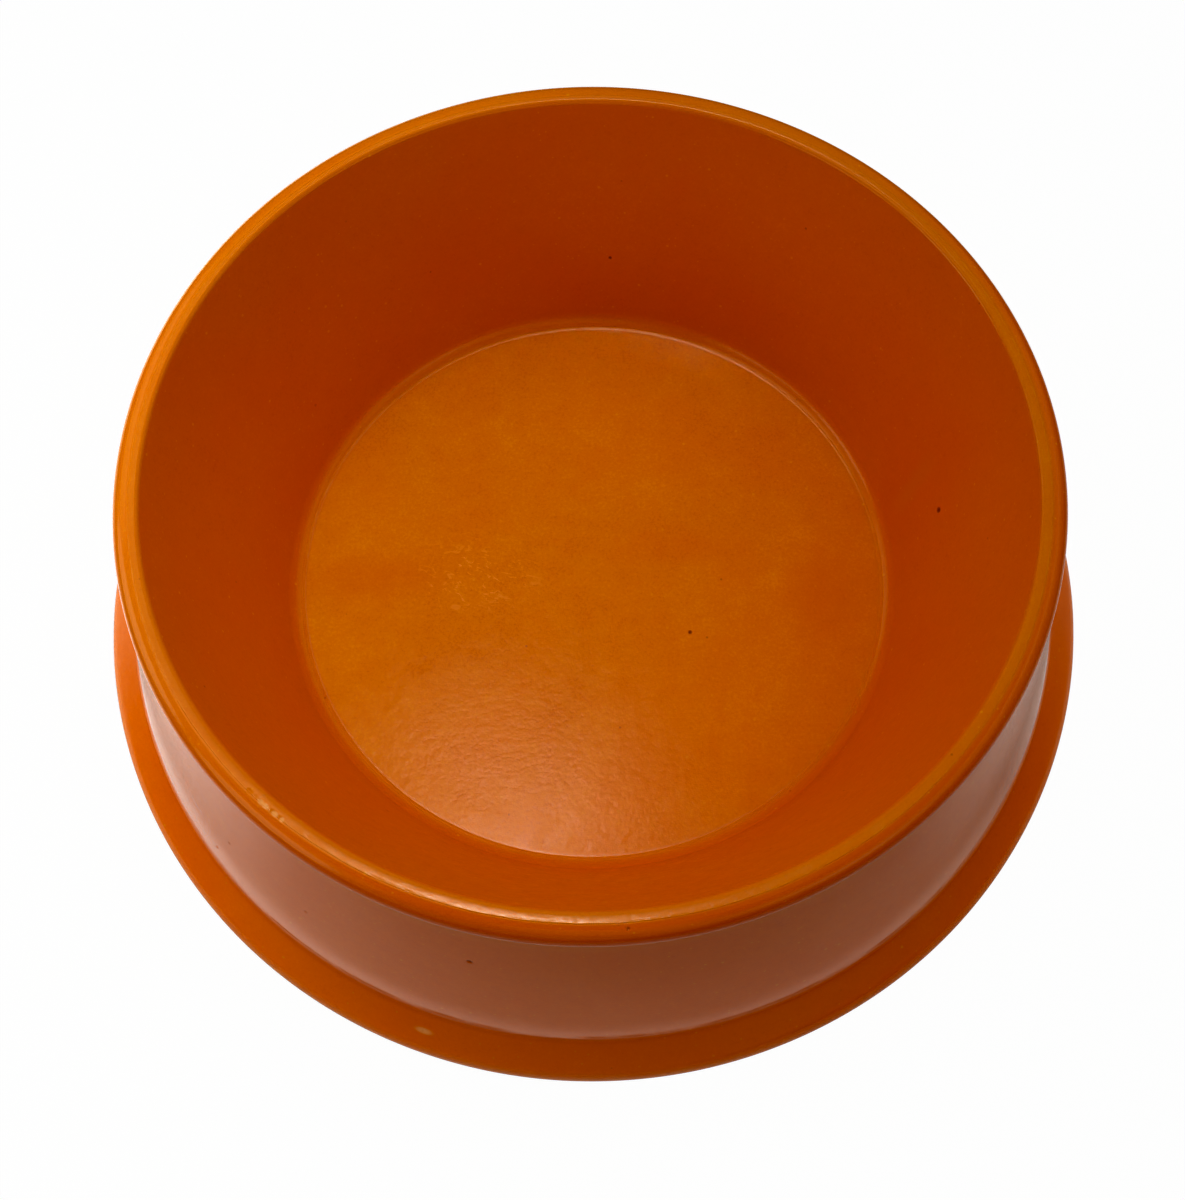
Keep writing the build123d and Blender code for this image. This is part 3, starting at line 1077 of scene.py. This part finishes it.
def make_world():
    """The room's soft light, white to the camera."""
    world = bpy.data.worlds.new("studio")
    scene.world = world
    tree = Tree(world)
    direction = tree.out("ShaderNodeTexCoord", "Generated")
    x, y, z = tree.split(tree.out("ShaderNodeVectorMath", "Vector", {0: direction},
                                  operation="NORMALIZE"))
    elevation, azimuth = tree.math("ARCSINE", z), tree.math("ARCTAN2", y, x)
    rows = [(*(math.radians(edge) for edge in edges), values) for *edges, values in ROOM_GLOW]
    room = polar_glow(tree, elevation, azimuth, rows) * STUDIO_LEVEL
    rays = tree.node("ShaderNodeLightPath")
    # mirrored in the plastic, the ceiling is darker than the light it gives
    ceiling = (elevation.rise(math.radians(40), math.radians(55))
               * tree.field(rays, "Is Glossy Ray"))
    room = room * (1.0 - ceiling * 0.88)
    strength = tree.mix(tree.field(rays, "Is Camera Ray"), room, WHITE)
    background = tree.shader("ShaderNodeBackground", {"Color": WHITE, "Strength": strength})
    tree.finish(background, kind="ShaderNodeOutputWorld")


# ----------------------------------------------------------------- lights --
# overhead diffuser, a little behind the bowl
KEY_AIM = Vector((-0.012, -0.060, 0.02))
KEY_DIRECTION = Vector((-0.052, 0.273, 1.0))
KEY_DISTANCE = 3.0
KEY_WIDTH, KEY_DEPTH = 0.29, 0.35
KEY_RADIANCE = 18.5
# soft discs near the bowl, facing SOFT_AIM: (place, brightness)
SOFT_AIM = Vector((0, 0, 0.04))
SOFT_DISCS = [
    ((-0.30, 0.00, 0.25), 0.48),
    ((-0.30, 0.22, 0.30), 1.15),
    ((-0.30, -0.22, 0.30), 0.47),
    ((-0.18, 0.00, 0.45), 1.37),
    ((-0.22, 0.28, 0.50), 0.57),
    ((0.00, 0.32, 0.35), 0.38),
    ((0.00, -0.35, 0.35), 0.48),
    ((-0.26, 0.00, 0.14), 1.95),
    ((-0.24, -0.16, 0.14), 1.50),
    ((-0.14, 0.05, 0.28), 0.21),
]


def area_light(name, place, direction, width, depth, radiance):
    """Elliptical light; `direction` points from the bowl to the light."""
    light = bpy.data.lights.new(name, "AREA")
    light.shape = "ELLIPSE"
    light.size, light.size_y = width, depth
    light.energy = radiance * math.pi * (math.pi * light.size * light.size_y / 4)
    lamp = add_object(name, light)
    lamp.location = place
    lamp.rotation_mode = "QUATERNION"
    lamp.rotation_quaternion = (-direction.normalized()).to_track_quat("-Z", "Y")
    lamp.visible_camera = False


def make_lights():
    area_light("key", KEY_AIM + KEY_DIRECTION * KEY_DISTANCE, KEY_DIRECTION,
               width=KEY_WIDTH, depth=KEY_DEPTH, radiance=KEY_RADIANCE)
    for k, (place, brightness) in enumerate(SOFT_DISCS):
        centre = Vector(place)
        size = 0.5 * centre.length
        area_light("soft_%d" % k, centre, centre - SOFT_AIM,
                   width=size, depth=size, radiance=STUDIO_LEVEL * brightness)


# ----------------------------------------------------------------- camera --
CAMERA_PLACE = Vector((0.0018, -157.296, 366.336))
CAMERA_AXES = (                 # the camera's right, up and backward directions
    Vector((0.999595, -0.026156, -0.011178)),
    Vector((0.028445, 0.919178, 0.392821)),
    Vector((0.0, -0.39298, 0.91955)),
)


def make_camera():
    lens = bpy.data.cameras.new("camera")
    camera = add_object("camera", lens)
    lens.lens, lens.sensor_width, lens.sensor_fit = 54.0, 36.0, "AUTO"
    lens.clip_start, lens.clip_end = 0.01, 50.0
    pose = Matrix(CAMERA_AXES).transposed().to_4x4()
    pose.translation = CAMERA_PLACE * MM
    camera.matrix_world = pose
    scene.camera = camera


def set_view():
    view = scene.view_settings
    view.view_transform = "Standard"
    view.look = "None"
    view.exposure = 0.0
    view.gamma = 0.6817
    view.use_curve_mapping = True
    view.curve_mapping.black_level = (0.0348, 0.0348, 0.0348)
    view.curve_mapping.update()


# --------------------------------------------------------------- assembly --
bowl = make_bowl()
ring = make_ring()
turn_outward(ring.data)
turn_outward(bowl.data)
bowl.data.materials.append(moulding_material())
ring.data.materials.append(rubber_material())

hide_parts("bowl_body")
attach(bowl, "root")
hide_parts("non_slip_ring")
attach(ring, "root")

make_table()
make_world()
make_lights()
make_camera()
set_view()
